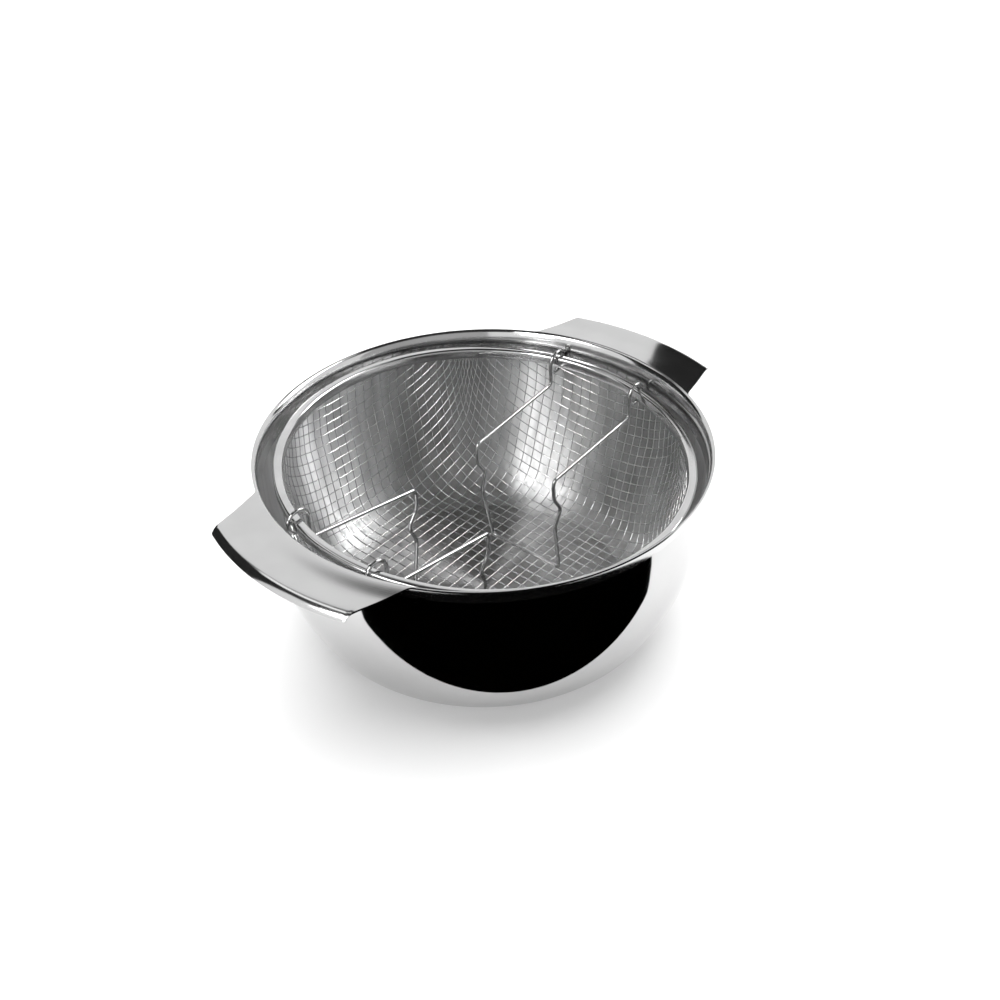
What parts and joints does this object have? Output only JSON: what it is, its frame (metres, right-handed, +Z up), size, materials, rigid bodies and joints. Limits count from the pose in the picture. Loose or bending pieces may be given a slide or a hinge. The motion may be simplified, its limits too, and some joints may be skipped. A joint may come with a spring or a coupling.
{
  "type": "stovetop deep fryer",
  "caption": "Round steel pan with flat wing handles, holding a wire mesh basket whose folding wire bails swing up to lift it out.",
  "frame": {"origin": "on the surface the pan stands on, under the middle of its base", "axes": "+Z up out of the pan's mouth, +X along the two handles, towards the one that the rear bail hinges beside"},
  "size_m": [0.3074, 0.25, 0.114],
  "materials": {
    "pan_steel": "stainless steel, mirror polished outside and on the handles, brushed satin inside",
    "core_aluminium": "plain rolled disc, hidden inside the base",
    "base_steel": "stainless steel, turned satin",
    "mesh_wire": "bright drawn stainless steel wire, woven square",
    "rim_steel": "polished stainless steel strip, folded and butted",
    "bail_wire": "bright bent stainless steel wire"
  },
  "bodies": {
    "pot": {"pot_body": "pan_steel", "base_core": "core_aluminium", "base_cap": "base_steel"},
    "basket": {"basket_mesh": "mesh_wire", "basket_rim": "rim_steel", "rim_core_wire": "mesh_wire"},
    "rear_bail": {"rear_bail": "bail_wire"},
    "front_bail": {"front_bail": "bail_wire"}
  },
  "joints": [
    {"name": "basket_lift", "type": "slide", "parent": "pot", "child": "basket", "axis": [0, 0, 1], "range_m": [0, 0.13]},
    {"name": "rear_bail_hinge", "type": "hinge", "parent": "basket", "child": "rear_bail", "pos_m": [0.1081, 0.00768, 0.10128], "axis": [-0.0697, 0.9967, 0.0413], "range_deg": [0, 165]},
    {"name": "front_bail_hinge", "type": "hinge", "parent": "basket", "child": "front_bail", "pos_m": [-0.10654, 0.00116, 0.10476], "axis": [0.0035, -0.9992, -0.0402], "range_deg": [0, 165]}
  ]
}
